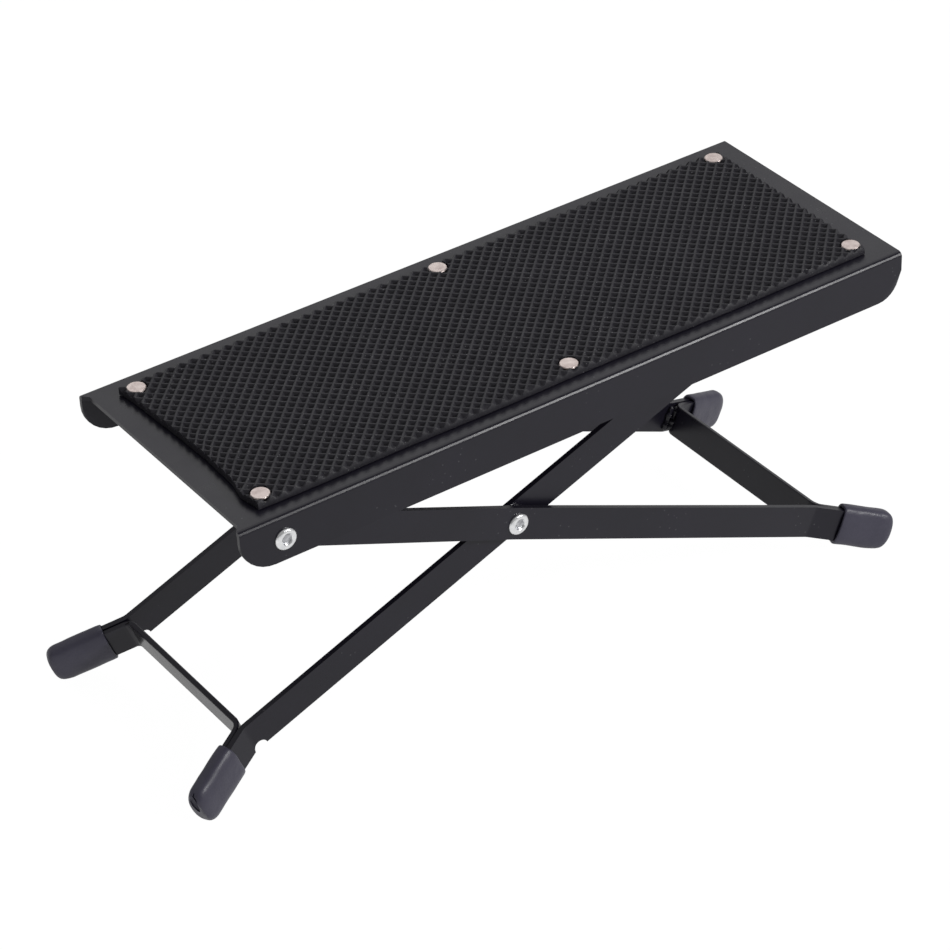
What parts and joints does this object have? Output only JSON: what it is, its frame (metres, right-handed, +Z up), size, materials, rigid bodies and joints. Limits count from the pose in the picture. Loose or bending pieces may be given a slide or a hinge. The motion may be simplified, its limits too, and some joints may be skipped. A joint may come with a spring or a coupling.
{
  "type": "guitar footrest",
  "caption": "Folding steel footrest for a seated guitarist, with a ribbed rubber mat, crossed flat legs and vinyl foot caps.",
  "frame": {"origin": "on the floor, under the middle of the footrest's overall box in its standing pose", "axes": "+X towards the high end of the tread, +Y to the rear across the tread, +Z up"},
  "size_m": [0.2958, 0.1072, 0.1249],
  "materials": {
    "powder_coat": "satin",
    "mat_rubber": "matte",
    "cap_vinyl": "satin",
    "rivet_metal": "satin",
    "zinc_plate": "satin",
    "spacer_nylon": "matte"
  },
  "bodies": {
    "outer_legs": {"outer_leg_front": "powder_coat", "outer_leg_rear": "powder_coat", "outer_cross_strap": "powder_coat", "high_foot_cap_front": "cap_vinyl", "high_foot_cap_rear": "cap_vinyl", "cross_rivet_front": "zinc_plate", "cross_rivet_rear": "zinc_plate", "cross_washer_front": "zinc_plate", "cross_washer_rear": "zinc_plate"},
    "inner_legs": {"inner_leg_front": "powder_coat", "inner_leg_rear": "powder_coat", "inner_cross_strap": "powder_coat", "low_foot_cap_front": "cap_vinyl", "low_foot_cap_rear": "cap_vinyl", "catch_rod": "zinc_plate"},
    "tread": {"top_plate": "powder_coat", "pivot_rivet_front": "zinc_plate", "pivot_rivet_rear": "zinc_plate", "pivot_spacer_front": "spacer_nylon", "pivot_spacer_rear": "spacer_nylon", "grip_mat": "mat_rubber", "mat_rivet_1": "rivet_metal", "mat_rivet_2": "rivet_metal", "mat_rivet_3": "rivet_metal", "mat_rivet_4": "rivet_metal", "mat_rivet_5": "rivet_metal", "mat_rivet_6": "rivet_metal", "notch_rack": "powder_coat"}
  },
  "joints": [
    {"name": "leg_cross", "type": "hinge", "parent": "outer_legs", "child": "inner_legs", "pos_m": [-0.01426, 0, 0.06414], "axis": [0, -1, 0], "range_deg": [-42.2, 37.6]},
    {"name": "plate_fold", "type": "hinge", "parent": "outer_legs", "child": "tread", "pos_m": [-0.1111, 0, 0.09981], "axis": [0, -1, 0], "range_deg": [-21.1, 18.8]}
  ],
  "couplings": [
    {"joint": "plate_fold", "follows": "leg_cross", "ratio": 0.5}
  ]
}
